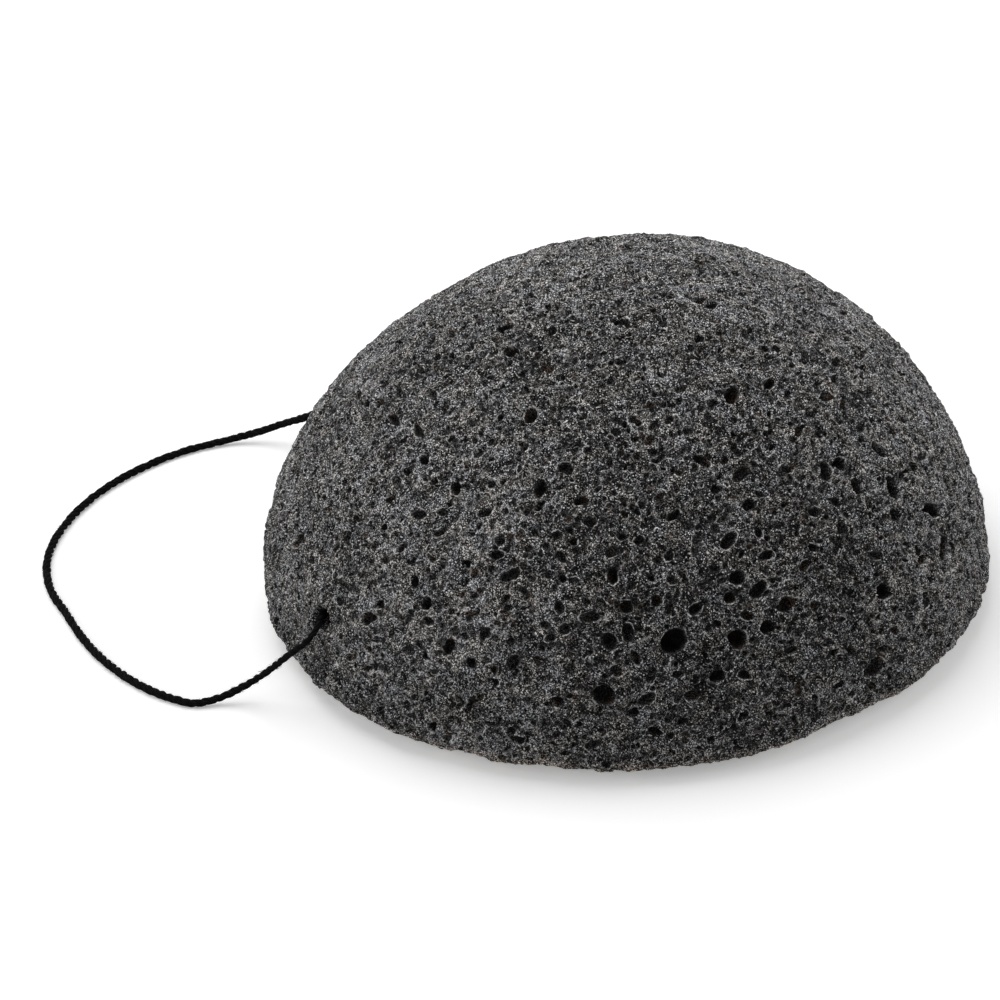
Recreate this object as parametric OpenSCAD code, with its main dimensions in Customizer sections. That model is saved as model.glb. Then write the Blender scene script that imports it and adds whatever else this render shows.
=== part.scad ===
// Half-ball face sponge of dried konjac foam, threaded on a knotted hanging cord.
// The origin is the middle of the flat base, with +Z up. Lengths are in millimetres.

/* [Sponge] */
// Width across the fullest part
sponge_d = 80; // [74:1:90]
// Height of the dome's top above the table
sponge_h = 38.2; // [34:0.2:46]
// Height of the fullest part above the table
girth_z = 3; // [2:0.5:6]
// How far the edge of the flat base is drawn in from the fullest part
base_inset = 4; // [2:0.5:7]

/* [Pores] */
// Width of the largest pore
pore_d = 2.6; // [1.6:0.1:3]

/* [Needle track] */
// Height of the track above the table
track_z = 10.2; // [9:0.1:12]
// How far the middle of the track lies in from the dome's side
track_depth = 10.5; // [9:0.5:12]
// Clearance all round the cord in the track
track_gap = 0.05; // [0.02:0.01:0.1]
// Width of the hollow that the cord has worn at each mouth of the track
mouth_d = 3; // [2:0.2:3.6]

/* [Cord] */
// Thickness of the twisted cord
cord_d = 0.95; // [0.7:0.05:1.2]
// Height of the hanging loop's knot off the back mouth of the track
knot_gap = 4; // [3.5:0.5:6]
// Length of the knot along the track's line
knot_l = 4.4; // [3.8:0.1:5.4]

/* [Hidden] */
$fn = 96;

// Powers of the two superellipse arcs of the dome's profile, below and above the girth
under_power = 1.7;
dome_power = 1.9;
// Straight bands that stand for each arc
under_bands = 6;
dome_bands = 22;

// Where the loop hangs out, in degrees round from +X, and the two ways along the track
loop_angle = 168;
loop_way = [cos(loop_angle), sin(loop_angle), 0];
track_way = [sin(loop_angle), -cos(loop_angle), 0];
up_way = [0, 0, 1];

girth_r = sponge_d / 2;
base_r = girth_r - base_inset;
dome_rise = sponge_h - girth_z;
cord_r = cord_d / 2;
track_r = cord_r + track_gap;

// Half width of the dome at a height over its girth
function dome_r(z) =
    let (share = (z - girth_z) / dome_rise, side = sqrt(1 - pow(share, dome_power)))
    girth_r * pow(side, 2 / dome_power);

// The track is a chord of the dome, square to the way that the loop hangs
track_inset = dome_r(track_z) - track_depth;
track_half = sqrt(pow(dome_r(track_z), 2) - pow(track_inset, 2));
track_mid = track_inset * loop_way + track_z * up_way;
front_mouth = track_mid - track_half * track_way;
back_mouth = track_mid + track_half * track_way;

// A point beyond the back mouth: along the track's line, out towards the loop, and up
function behind(along, out = 0, rise = 0) =
    back_mouth + along * track_way + out * loop_way + rise * up_way;

// The largest pores: degrees round from +X, share of the dome's height, share of pore_d
pore_shares = [
    [274, 0.39, 1.00], [330, 0.43, 0.89], [323, 0.54, 0.89], [306, 0.17, 0.88],
    [263, 0.27, 0.85], [328, 0.33, 0.82], [198, 0.40, 0.82], [284, 0.37, 0.78],
    [311, 0.35, 0.77], [311, 0.65, 0.71], [289, 0.47, 0.71], [293, 0.42, 0.70],
    [301, 0.84, 0.70], [264, 0.40, 0.69], [222, 0.35, 0.68], [293, 0.71, 0.66],
    [247, 0.54, 0.66], [315, 0.59, 0.66], [209, 0.94, 0.66], [286, 0.51, 0.65],
    [326, 0.62, 0.65], [250, 0.72, 0.64], [289, 0.38, 0.63], [243, 0.84, 0.63],
    [286, 0.75, 0.63], [286, 0.59, 0.63], [273, 0.97, 0.61], [269, 0.25, 0.61],
    [261, 0.46, 0.61], [238, 0.35, 0.61], [205, 0.75, 0.61], [267, 0.42, 0.61],
    [280, 0.29, 0.61], [325, 0.76, 0.60], [344, 0.33, 0.76], [357, 0.52, 0.52],
    [12, 0.27, 0.85], [21, 0.62, 0.59], [33, 0.38, 0.65], [46, 0.21, 0.80],
    [58, 0.49, 0.66], [69, 0.31, 0.85], [77, 0.66, 0.53], [88, 0.42, 0.65],
    [101, 0.56, 0.59], [109, 0.35, 0.69], [138, 0.47, 0.66], [156, 0.34, 0.77],
    [164, 0.44, 0.56], [171, 0.53, 0.64], [182, 0.29, 0.65], [147, 0.68, 0.48]
];
// How far the middle of a pore lies under the skin, as a share of its width
pore_sink_share = 0.12;

// The free cord from the front mouth round to the back: across, back, and lift off the table
loop_route = [
    [-34, -21.3, 9.3], [-34.9, -21.8, 8.5], [-36, -21.4, 7.5], [-37.2, -20.8, 6.3],
    [-39.6, -19.4, 3.7], [-42.2, -18.6, 1.7], [-45, -18.5, 0.4], [-48, -18.5, 0],
    [-51.5, -16.3, 0], [-55, -12.8, 0], [-58.1, -8.5, 0], [-60.7, -3.6, 0],
    [-62.9, 1.8, 0], [-65.1, 7.4, 0], [-66, 13, 0], [-65.5, 18.5, 0],
    [-63.5, 24.5, 0], [-60.3, 29.8, 0], [-56, 34.2, 0], [-51.5, 37.2, 0],
    [-46.8, 38.8, 0.1], [-42.8, 38.9, 0.8], [-38.8, 37.8, 2.4], [-35, 35.6, 4.5],
    [-31.2, 34.2, 6.7], [-27.8, 33.4, 8.5], [-25, 33.3, 9.6], [-23.1, 34.1, 9.8]
];
// The two cut ends, from the middle of the knot's far face: along, out towards the loop, up
long_tail = [[1, 0.4, 0], [2.2, 0.6, -0.5], [3.4, 1, -1.6], [4.2, 1.6, -3.2], [4.6, 2.2, -5]];
short_tail = [[1, -0.5, 0.1], [2, -1.2, 0], [2.8, -2.2, -0.6], [3.3, -3.4, -1.6]];

// The second strand lies beside the first one where both go into the knot
strand_out = 1.05 * cord_d;
// The knot: both strands side by side, and turns of cord that wind round them aslant
knot_out = strand_out / 2;
knot_core_r = (strand_out + cord_d) / 2;
knot_bed_share = 0.9;
knot_turn_r = knot_core_r + knot_bed_share * cord_r;
knot_turns = 4;
knot_tilt = 15;
knot_face = knot_gap;
knot_back = knot_gap + knot_l;

// Sides of a free stretch of cord, and its rings for each step of its route
tube_sides = 8;
ring_steps = 2;

// One point of a smooth curve, between the second and third of four neighbours
function curve_point(a, b, c, d, t) =
    b + (c - a) * t / 2 + (2 * a - 5 * b + 4 * c - d) * t * t / 2
    + (3 * b - a - 3 * c + d) * t * t * t / 2;

// A smooth curve through all the points, leaving both ends straight
function curve(points) =
    let (
        last = len(points) - 1,
        run = concat([2 * points[0] - points[1]], points, [2 * points[last] - points[last - 1]])
    )
    concat(
        [for (i = [0:last - 1], k = [0:ring_steps - 1])
            curve_point(run[i], run[i + 1], run[i + 2], run[i + 3], k / ring_steps)],
        [points[last]]
    );

// The way that a run of points heads at one of them
function heading(run, i) =
    let (way = run[min(i + 1, len(run) - 1)] - run[max(i - 1, 0)])
    way / norm(way);

// A ring of corners round a point, square to the way given, with a flat side down
function ring(middle, way) =
    let (side = cross(way, up_way) / norm(cross(way, up_way)), top = cross(side, way))
    [for (k = [0:tube_sides - 1])
        let (turn = (k + 0.5) * 360 / tube_sides)
        middle + cord_r * (cos(turn) * side + sin(turn) * top)];

// A closed tube of cord along a run of points
module cord_tube(run) {
    rings = [for (i = [0:len(run) - 1]) ring(run[i], heading(run, i))];
    corners = [for (r = rings, corner = r) corner];
    last = (len(run) - 1) * tube_sides;
    walls = [for (i = [0:len(run) - 2], k = [0:tube_sides - 1])
        let (
            near = i * tube_sides, far = near + tube_sides, next = (k + 1) % tube_sides
        )
        each [[near + k, near + next, far + next], [near + k, far + next, far + k]]];
    front = [for (k = [tube_sides - 1:-1:0]) k];
    back = [for (k = [0:tube_sides - 1]) last + k];
    polyhedron(points = corners, faces = concat(walls, [front, back]));
}

// Turns a shape that stands along +Z so that it lies along the track, from a point of it
module along_track(from) {
    translate(from) rotate([0, 90, loop_angle - 90]) children();
}

module dome() {
    under = [for (i = [0:under_bands - 1])
        let (turn = 90 * i / under_bands)
        [base_r + base_inset * pow(sin(turn), 2 / under_power),
         girth_z * (1 - pow(cos(turn), 2 / under_power))]];
    over = [for (i = [0:dome_bands - 1])
        let (turn = 90 * i / dome_bands)
        [girth_r * pow(cos(turn), 2 / dome_power),
         girth_z + dome_rise * pow(sin(turn), 2 / dome_power)]];
    rotate_extrude() polygon(concat([[0, 0]], under, over, [[0, sponge_h]]));
}

// A round pit with its middle a little under a point of the skin
module pit(skin, width) {
    inward = girth_z * up_way - skin;
    translate(skin + width * pore_sink_share * inward / norm(inward)) sphere(d = width);
}

// One open pore
module pore(turn, height_share, width_share) {
    z = sponge_h * height_share;
    pit([dome_r(z) * cos(turn), dome_r(z) * sin(turn), z], pore_d * width_share);
}

module sponge_body() color([0.2, 0.2, 0.2]) difference() {
    dome();
    for (share = pore_shares) pore(share[0], share[1], share[2]);
    for (mouth = [front_mouth, back_mouth]) pit(mouth, mouth_d);
    along_track(track_mid) cylinder(r = track_r, h = sponge_d, center = true);
}

// The stretch of cord inside the needle track, on to the knot
module cord_core() color([0.08, 0.08, 0.09])
    along_track(front_mouth) cylinder(r = cord_r, h = 2 * track_half + knot_face);

// The free loop: out of the front mouth, over the table and back to the knot
module cord_loop() color([0.06, 0.06, 0.07]) {
    lying = [for (p = loop_route) p + cord_r * up_way];
    start = [front_mouth, front_mouth - cord_r * track_way];
    end = [behind(knot_face - cord_r, strand_out), behind(knot_face, strand_out)];
    run = curve(concat(start, lying, end));
    cord_tube([for (p = run) [p.x, p.y, max(p.z, cord_r)]]);
}

// The overhand knot: turns of cord pulled tight round both strands
module cord_knot() color([0.08, 0.08, 0.09]) along_track(behind(knot_face, knot_out)) {
    cylinder(r = knot_core_r, h = knot_l);
    for (i = [0:knot_turns - 1])
        translate([0, 0, knot_l * (i + 0.5) / knot_turns])
            rotate([knot_tilt, 0, 0])
                rotate_extrude() translate([knot_turn_r, 0]) circle(r = cord_r);
}

// The two cut ends that stick out beyond the knot
module cord_tails() color([0.06, 0.06, 0.07])
    for (tail = [long_tail, short_tail]) {
        first = behind(knot_back, knot_out + tail[0][1], tail[0][2]);
        rest = [for (p = tail) behind(knot_back + p[0], knot_out + p[1], p[2])];
        cord_tube(curve(concat([first], rest)));
    }

sponge_body();
cord_core();
cord_loop();
cord_knot();
cord_tails();
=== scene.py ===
"""Foam face sponge on a knotted hanging cord, laid out as an add-on and run as a script."""
import math

import bpy
import numpy as np
from bpy.props import FloatProperty, FloatVectorProperty, IntProperty, PointerProperty
from bpy.types import Operator, Panel, PropertyGroup
from mathutils import Matrix, Vector


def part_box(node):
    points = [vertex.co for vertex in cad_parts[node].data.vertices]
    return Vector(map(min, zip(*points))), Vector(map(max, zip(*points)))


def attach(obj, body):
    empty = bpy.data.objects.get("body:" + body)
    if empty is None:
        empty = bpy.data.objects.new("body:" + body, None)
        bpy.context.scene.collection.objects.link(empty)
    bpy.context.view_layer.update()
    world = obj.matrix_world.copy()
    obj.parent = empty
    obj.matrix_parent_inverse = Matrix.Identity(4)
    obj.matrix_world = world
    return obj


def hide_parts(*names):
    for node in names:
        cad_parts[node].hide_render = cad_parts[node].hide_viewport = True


bl_info = {
    "name": "Konjac Sponge",
    "version": (1, 0, 0),
    "blender": (4, 5, 0),
    "location": "View3D > Sidebar > Sponge",
    "description": "Half-ball foam sponge threaded on a knotted hanging cord",
    "category": "Add Mesh",
}

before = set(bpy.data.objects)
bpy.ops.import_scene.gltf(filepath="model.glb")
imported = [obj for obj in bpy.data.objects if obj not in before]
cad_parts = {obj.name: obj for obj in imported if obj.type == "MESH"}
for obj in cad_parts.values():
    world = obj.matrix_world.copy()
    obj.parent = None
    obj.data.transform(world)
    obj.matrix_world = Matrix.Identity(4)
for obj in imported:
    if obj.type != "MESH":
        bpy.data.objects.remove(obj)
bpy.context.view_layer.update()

MM = 0.001
SPONGE_BODY = "sponge"
CORD_BODY = "hanging_loop"
SPONGE_LOW, SPONGE_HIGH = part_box("sponge_body")
SPONGE_WIDTH = float(SPONGE_HIGH[0] - SPONGE_LOW[0])
SPONGE_HEIGHT = float(SPONGE_HIGH[2] - SPONGE_LOW[2])

# The needle track, as in the part: its direction from front to back, and where it lies
LOOP_ANGLE = math.radians(168)
LOOP_WAY = np.array([math.cos(LOOP_ANGLE), math.sin(LOOP_ANGLE), 0.0])
TRACK_WAY = np.array([math.sin(LOOP_ANGLE), -math.cos(LOOP_ANGLE), 0.0])
UP_WAY = np.array([0.0, 0.0, 1.0])
TRACK_Z = 10.2 * MM
TRACK_DEPTH = 10.5 * MM
# The dome's profile, as in the part: the height of the girth, how far the base is drawn in
# from it, and the powers of the arcs below and above it
GIRTH_Z = 3 * MM
BASE_INSET = 4 * MM
UNDER_POWER = 1.7
DOME_POWER = 1.9
# The cord and its knot, as in the part
CORD_WIDTH = 0.95 * MM
KNOT_GAP = 4 * MM
KNOT_LENGTH = 4.4 * MM
STRAND_OUT = 1.05 * CORD_WIDTH
KNOT_OUT = STRAND_OUT / 2
# How far from the mouth the cord is pulled slimmer
SLIM_LENGTH = 24 * MM
# A ply: its radius as a share of the cord's width, its sides, how much wider it is round
# the cord than out from it, by how much and how often its thickness changes, and how far
# apart its rings lie
PLY_SHARE = 0.25
PLY_SIDES = 10
PLY_STRETCH = 1.15
UNEVEN_SHARE = 0.22
UNEVEN_STEP = 0.35 * MM
RING_STEP = 0.16 * MM
# A loose fibre: its sides, its radius in millimetres from root to tip, and its least height
FIBRE_SIDES = 3
FIBRE_RADII = (0.024, 0.02, 0.006)
FIBRE_FLOOR = 0.03 * MM
# The turns of doubled cord round the knot: how many, where they start in radians, how far
# out they lie, and how much of the knot's length they take
KNOT_TURNS = 1.6
KNOT_START = 0.6
KNOT_RADIUS = 1.42 * MM
KNOT_SPREAD = 2.8 * MM

# The free cord's route over the table, in millimetres, from the front mouth to the knot
LOOP_ROUTE = (
    (-34, -21.3, 9.3), (-34.9, -21.8, 8.5), (-36, -21.4, 7.5), (-37.2, -20.8, 6.3),
    (-39.6, -19.4, 3.7), (-42.2, -18.6, 1.7), (-45, -18.5, 0.4), (-48, -18.5, 0),
    (-51.5, -16.3, 0), (-55, -12.8, 0), (-58.1, -8.5, 0), (-60.7, -3.6, 0),
    (-62.9, 1.8, 0), (-65.1, 7.4, 0), (-66, 13, 0), (-65.5, 18.5, 0),
    (-63.5, 24.5, 0), (-60.3, 29.8, 0), (-56, 34.2, 0), (-51.5, 37.2, 0),
    (-46.8, 38.8, 0.1), (-42.8, 38.9, 0.8), (-38.8, 37.8, 2.4), (-35, 35.6, 4.5),
    (-31.2, 34.2, 6.7), (-27.8, 33.4, 8.5), (-25, 33.3, 9.6), (-23.1, 34.1, 9.8),
)
# The two cut ends, in millimetres from the middle of the knot's far face: along, out, up
LONG_TAIL = ((0, 0.4, 0), (1, 0.4, 0), (2.2, 0.6, -0.5), (3.4, 1, -1.6), (4.2, 1.6, -3.2),
             (4.6, 2.2, -5))
SHORT_TAIL = ((0, -0.5, 0), (1, -0.5, 0.1), (2, -1.2, 0), (2.8, -2.2, -0.6), (3.3, -3.4, -1.6))

# Large pores: degrees round from +X, share of the height, width in millimetres, how many
# times as long as wide, and how far the long way is turned up from level, in degrees
PORES = (
    (274, 0.39, 2.4, 1.3, 45), (263, 0.27, 2.1, 1.2, 155), (284, 0.37, 2.1, 1, 0),
    (289, 0.47, 1.4, 1.9, 30), (323, 0.54, 2.1, 1.3, 70), (306, 0.17, 2.0, 1.4, 10),
    (264, 0.40, 1.7, 1.2, 120), (293, 0.42, 1.5, 1.6, 10), (311, 0.35, 1.9, 1.2, 165),
    (293, 0.71, 1.3, 1.9, 25), (286, 0.51, 1.6, 1.2, 175), (250, 0.72, 1.4, 1.5, 90),
    (286, 0.59, 1.3, 1.7, 40), (289, 0.38, 1.5, 1.3, 5), (267, 0.42, 1.3, 1.6, 90),
    (330, 0.43, 1.8, 1.8, 145), (280, 0.29, 1.5, 1.2, 30), (269, 0.25, 1.2, 1.9, 35),
    (261, 0.46, 1.2, 1.9, 10), (311, 0.65, 1.4, 1.9, 55), (276, 0.25, 1.3, 1.4, 0),
    (265, 0.55, 1.3, 1.4, 95), (315, 0.59, 1.5, 1.4, 70), (267, 0.48, 1.4, 1, 0),
    (249, 0.34, 1.3, 1.4, 65), (243, 0.84, 1.5, 1.3, 100), (255, 0.76, 1.3, 1.4, 160),
    (233, 0.44, 1.4, 1.2, 45), (286, 0.75, 1.3, 1.7, 135), (315, 0.65, 1.6, 1, 0),
    (328, 0.33, 1.6, 1.9, 50), (284, 0.47, 1.3, 1, 0), (238, 0.35, 1.2, 1.9, 70),
    (261, 0.13, 1.0, 1.9, 25), (250, 0.51, 0.9, 1.9, 150), (222, 0.35, 1.4, 1.7, 40),
    (308, 0.21, 1.1, 1.9, 155), (265, 0.33, 1.2, 1.3, 145), (198, 0.40, 1.6, 1.9, 45),
    (247, 0.54, 1.3, 1.9, 30), (311, 0.74, 1.0, 1.9, 30), (301, 0.84, 1.6, 1.4, 35),
    (209, 0.94, 1.5, 1.4, 60), (272, 0.49, 1.3, 1, 0), (244, 0.40, 1.1, 1.8, 55),
    (292, 0.54, 1.1, 1.9, 175), (205, 0.75, 1.2, 1.9, 170), (240, 0.66, 1.0, 1.9, 35),
    (320, 0.49, 1.4, 1.3, 125), (273, 0.97, 1.2, 1.9, 150), (214, 0.76, 1.1, 1.9, 160),
    (244, 0.58, 1.0, 1.9, 10), (278, 0.46, 1.1, 1.6, 25), (268, 0.36, 1.0, 1.9, 110),
    (332, 0.77, 1.1, 1.9, 5), (226, 0.62, 1.1, 1.8, 10), (312, 0.44, 1.1, 1.9, 150),
    (265, 0.60, 1.1, 1.4, 5), (257, 0.43, 1.1, 1.3, 80), (270, 0.16, 1.0, 1.9, 155),
    (326, 0.62, 1.3, 1.8, 100), (232, 0.69, 1.4, 1.2, 135), (313, 0.83, 1.2, 1.6, 5),
    (277, 0.66, 1.0, 1.9, 35), (256, 0.48, 1.1, 1.4, 105), (325, 0.76, 1.2, 1.8, 160),
    (292, 0.65, 1.1, 1.5, 15), (256, 0.25, 1.1, 1.3, 165), (223, 0.92, 1.4, 1.3, 35),
    (259, 0.70, 1.0, 1.8, 5), (304, 0.59, 1.1, 1.6, 160), (256, 0.59, 1.0, 1.6, 140),
    (224, 0.40, 0.9, 1.9, 35), (283, 0.17, 1.1, 1.4, 35), (261, 0.66, 1.1, 1.4, 170),
    (242, 0.32, 1.2, 1.2, 160), (230, 0.48, 1.1, 1.3, 120), (297, 0.96, 1.0, 1.9, 90),
    (284, 0.28, 1.0, 1.5, 160), (275, 0.80, 0.9, 1.9, 60), (225, 0.54, 0.9, 1.9, 40),
    (255, 0.41, 1.0, 1.4, 15), (327, 0.73, 1.0, 1.9, 35), (301, 0.52, 1.0, 1.5, 135),
    (292, 0.31, 0.8, 1.9, 175), (311, 0.24, 0.9, 1.9, 140), (329, 0.96, 1.1, 1.9, 160),
    (303, 0.69, 1.0, 1.7, 145), (232, 0.60, 0.9, 1.9, 50), (267, 0.63, 1.0, 1.2, 5),
    (286, 0.42, 0.9, 1.9, 150), (295, 0.84, 1.0, 1.6, 170), (274, 0.31, 0.8, 1.8, 10),
    (299, 0.17, 0.9, 1.9, 15), (267, 0.22, 1.0, 1.6, 15), (221, 0.72, 1.1, 1.3, 10),
    (275, 0.70, 0.8, 1.9, 35), (298, 0.49, 1.1, 1.3, 40), (234, 0.40, 0.9, 1.7, 170),
    (242, 0.91, 1.0, 1.8, 175), (244, 0.79, 0.8, 1.9, 150), (298, 0.39, 1.0, 1.3, 30),
    (212, 0.50, 1.1, 1.5, 105), (275, 0.58, 0.9, 1.4, 70), (234, 0.70, 0.7, 1.9, 15),
    (196, 0.75, 1.2, 1.4, 0), (231, 0.64, 0.9, 1.7, 10), (292, 0.59, 0.9, 1.7, 90),
    (270, 0.62, 0.9, 1.3, 20), (244, 0.61, 1.0, 1.2, 5), (329, 0.95, 1.1, 1.7, 155),
    (274, 0.18, 0.9, 1.7, 30), (247, 0.49, 0.7, 1.9, 45), (254, 0.44, 0.9, 1.5, 170),
    (344, 0.33, 1.8, 1.3, 20), (357, 0.52, 1.4, 1, 0), (12, 0.27, 2.1, 1.2, 100),
    (21, 0.62, 1.3, 1.5, 60), (33, 0.38, 1.6, 1.2, 40), (46, 0.21, 1.9, 1.3, 150),
    (58, 0.49, 1.4, 1.6, 10), (69, 0.31, 2.2, 1.1, 0), (77, 0.66, 1.2, 1.4, 80),
    (88, 0.42, 1.6, 1.2, 130), (101, 0.56, 1.3, 1.5, 35), (109, 0.35, 1.7, 1.2, 90),
    (138, 0.47, 1.5, 1.4, 20), (147, 0.68, 1.2, 1, 0), (156, 0.34, 1.9, 1.2, 60),
    (171, 0.53, 1.4, 1.5, 120), (182, 0.29, 1.6, 1.2, 30), (186, 0.72, 1.1, 1.6, 0),
    (40, 0.80, 1.2, 1.3, 90), (118, 0.82, 1.1, 1, 0), (350, 0.24, 1.0, 1.5, 50),
    (6, 0.40, 1.2, 1.2, 150), (27, 0.24, 1.1, 1.4, 10), (52, 0.35, 1.0, 1.8, 70),
    (64, 0.60, 1.1, 1.2, 160), (83, 0.22, 1.2, 1.3, 20), (95, 0.30, 1.0, 1.7, 110),
    (132, 0.20, 1.3, 1.2, 40), (143, 0.57, 1.0, 1.5, 90), (164, 0.44, 1.1, 1.9, 140),
    (176, 0.38, 1.0, 1.3, 15), (192, 0.55, 1.2, 1.4, 75), (339, 0.62, 1.1, 1.4, 130),
    (352, 0.78, 1.0, 1.6, 25), (15, 0.88, 1.0, 1.2, 60), (73, 0.86, 0.9, 1.5, 5),
    (133, 0.90, 1.0, 1.3, 100), (166, 0.86, 0.9, 1.8, 45), (113, 0.70, 1.0, 1.2, 30),
    (35, 0.55, 1.0, 1.5, 170),
)
# Width in millimetres of the hollow that the cord has worn at each mouth of the track, and
# how far its middle lies above the track's own
MOUTH_WIDTH = 3.0
MOUTH_LIFT = 0.35 * MM
# A large pore is part of a round bubble: how deep the bubble's middle lies and its radius,
# as shares of the pore's width
BUBBLE_SINK = 0.25
BUBBLE_RADIUS = 0.56
# Widths at which the large pores are parted into sizes, so that none cuts off a larger one
PORE_SIZES = (0.0, 1.25, 1.65, 4.0)

# Finer bubbles, layer by layer: the cell that each has to itself, its smallest and largest
# radius as shares of the cell, the share that are open, a shift of the pattern, how much
# painted shade they get, and how bright the painted highlights on their rims are
CELL_LAYERS = (
    (2.6 * MM, 0.14, 0.25, 0.45, (3.7, 1.3, 8.1), 1.0, 1.0),
    (1.8 * MM, 0.20, 0.38, 1.10, (6.4, 2.7, 5.3), 1.0, 1.0),
    (1.4 * MM, 0.22, 0.38, 0.90, (1.9, 7.3, 2.2), 1.0, 1.0),
    (0.90 * MM, 0.34, 0.54, 0.95, (5.1, 0.4, 6.6), 0.8, 0.3),
    (0.55 * MM, 0.34, 0.54, 0.90, (9.2, 3.3, 0.7), 0.2, 0.0),
)
# Coarse cells, wider than this, keep clear of the large pores. Fine ones, narrower than
# this, have their depth lessened to a share
COARSE_CELL = 1.2 * MM
FINE_CELL = 0.7 * MM
FINE_DEPTH = 0.6
# The deepest that any pore goes
DEEPEST = 2.6 * MM
# Crumbs of the skin, from coarse to fine: their size, and their height from low to high
CRUMBS = (
    (4.5 * MM, 0.9 * MM), (1.8 * MM, 0.45 * MM), (0.9 * MM, 0.45 * MM), (0.4 * MM, 0.24 * MM),
)

# Swellings and dents: degrees, share of the height, reach and rise in millimetres
LUMPS = (
    (334, 0.155, 1.6, -0.35), (338, 0.155, 1.6, -0.50), (341, 0.155, 1.6, -0.50),
    (344, 0.155, 1.6, -0.50), (348, 0.155, 1.6, -0.50), (352, 0.155, 1.6, -0.35),
    (343, 0.09, 2.4, 0.25), (0, 0.29, 8, -0.33), (7, 0.43, 8, -0.22), (40, 0.81, 9, 0.40),
    (120, 0.86, 10, -0.35), (141, 0.77, 11, -0.38), (155, 0.65, 9, -0.14), (204, 0.06, 5, -0.22),
    (213, 0.05, 4, 0.20), (234, 0.04, 5, -0.40), (244, 0.04, 5, -0.50), (252, 0.04, 5, -0.28),
    (261, 0.04, 4, -0.30), (271, 0.04, 5, 0.16), (279, 0.04, 4, 0.14), (293, 0.04, 4, 0.18),
    (301, 0.04, 5, -0.40), (317, 0.05, 5, 0.14), (350, 0.08, 6, -0.22), (25, 0.06, 6, 0.20),
    (52, 0.10, 7, -0.30), (84, 0.05, 5, 0.22), (103, 0.07, 6, -0.34), (127, 0.05, 5, 0.18),
    (160, 0.06, 6, -0.28), (70, 0.62, 9, -0.25), (98, 0.40, 8, 0.22), (180, 0.50, 9, 0.15),
    (20, 0.60, 8, 0.20),
)

# Height up to which swellings and dents are turned towards level
FLAT_BAND = 6 * MM
# How far noise, which keeps near its middle, is stretched to give lumps their full height
LUMP_STRETCH = 2.6

# Lighter and darker patches of the skin, partly its own tone and partly painted light and
# shade: degrees, share of the height, reach in millimetres, and how much lighter
TONE_AND_LIGHT_PATCHES = (
    (234, 0.54, 9, 0.90), (226, 0.44, 6, 0.30), (242, 0.17, 9, 0.70), (201, 0.36, 8, 0.55),
    (187, 0.63, 9, 0.07), (324, 0.28, 8, 0.42), (352, 0.41, 8, 1.20), (9, 0.61, 8, 0.90),
    (117, 0.96, 9, 0.60), (26, 0.91, 9, 0.45), (282, 0.64, 9, -0.28), (299, 0.43, 10, -0.62),
    (276, 0.24, 8, -0.50), (265, 0.75, 8, -0.31), (241, 0.95, 9, -0.48), (200, 0.88, 9, -0.40),
    (303, 0.71, 9, -0.20), (263, 0.45, 8, -0.55), (312, 0.88, 9, -0.18), (247, 0.50, 6, 0.55),
    (292, 0.14, 8, 0.12), (275, 0.87, 9, -0.24), (239, 0.10, 6, 0.45), (332, 0.38, 6, 0.35),
    (204, 0.26, 6, 0.20), (276, 0.37, 4, 0.25), (60, 0.30, 9, 0.25), (100, 0.50, 10, -0.20),
    (150, 0.30, 9, 0.20), (40, 0.60, 9, -0.15), (170, 0.70, 10, 0.10),
)


# Sizes, colours and lights that a user would change

class SpongeShape(PropertyGroup):
    """Size and surface of the foam."""

    width: FloatProperty(
        name="Width", description="Width across the fullest part", default=SPONGE_WIDTH,
        unit="LENGTH")
    height: FloatProperty(
        name="Height", description="Height of the dome", default=SPONGE_HEIGHT,
        unit="LENGTH")
    lump: FloatProperty(
        name="Lumps", description="How far the skin swells and sinks", default=0.35 * MM,
        unit="LENGTH")
    fineness: IntProperty(
        name="Fineness", description="Subdivisions of the ball that the foam is shaped from",
        default=9, min=5, max=9)
    skin: FloatVectorProperty(
        name="Skin", description="Colour of the foam's skin", default=(0.107, 0.106, 0.106),
        subtype="COLOR", size=3)
    # The colour deep in a pore is painted shade
    hollow: FloatVectorProperty(
        name="Hollow", description="Colour deep in a pore", default=(0.0062, 0.0044, 0.0036),
        subtype="COLOR", size=3)


class CordShape(PropertyGroup):
    """Size and colour of the twisted cord."""

    width: FloatProperty(
        name="Width", description="Thickness of the cord", default=CORD_WIDTH, unit="LENGTH")
    plies: IntProperty(
        name="Plies", description="Strands that are twisted together", default=3, min=2, max=4)
    lay: FloatProperty(
        name="Lay", description="Length of one turn of a ply", default=3.2 * MM, unit="LENGTH")
    dye: FloatVectorProperty(
        name="Dye", description="Colour of the cotton", default=(0.002, 0.002, 0.0022),
        subtype="COLOR", size=3)


class StageLook(PropertyGroup):
    """Floor, lamps and camera."""

    fill: FloatProperty(
        name="Fill", description="Strength of the light from all round", default=0.33)
    key: FloatProperty(
        name="Key", description="Power of the large lamp overhead", default=1.5,
        unit="POWER")
    side: FloatProperty(
        name="Side", description="Power of the lamp at each side", default=0.45,
        unit="POWER")
    floor_glow: FloatProperty(
        name="Floor Glow", description="Light that the camera sees added to the floor",
        default=0.3)
    lens: FloatProperty(
        name="Lens", description="Focal length of the camera in millimetres", default=118.727)


# Node and mesh helpers

def put(tree, value, socket):
    """Links or writes a value into a node's socket."""
    if isinstance(value, bpy.types.NodeSocket):
        tree.links.new(value, socket)
    else:
        socket.default_value = value


def add(tree, kind, inputs=None, **settings):
    """Adds a node with its settings and inputs, and returns it."""
    made = tree.nodes.new(kind)
    for name, value in settings.items():
        setattr(made, name, value)
    for name, value in (inputs or {}).items():
        put(tree, value, made.inputs[name])
    return made


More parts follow.
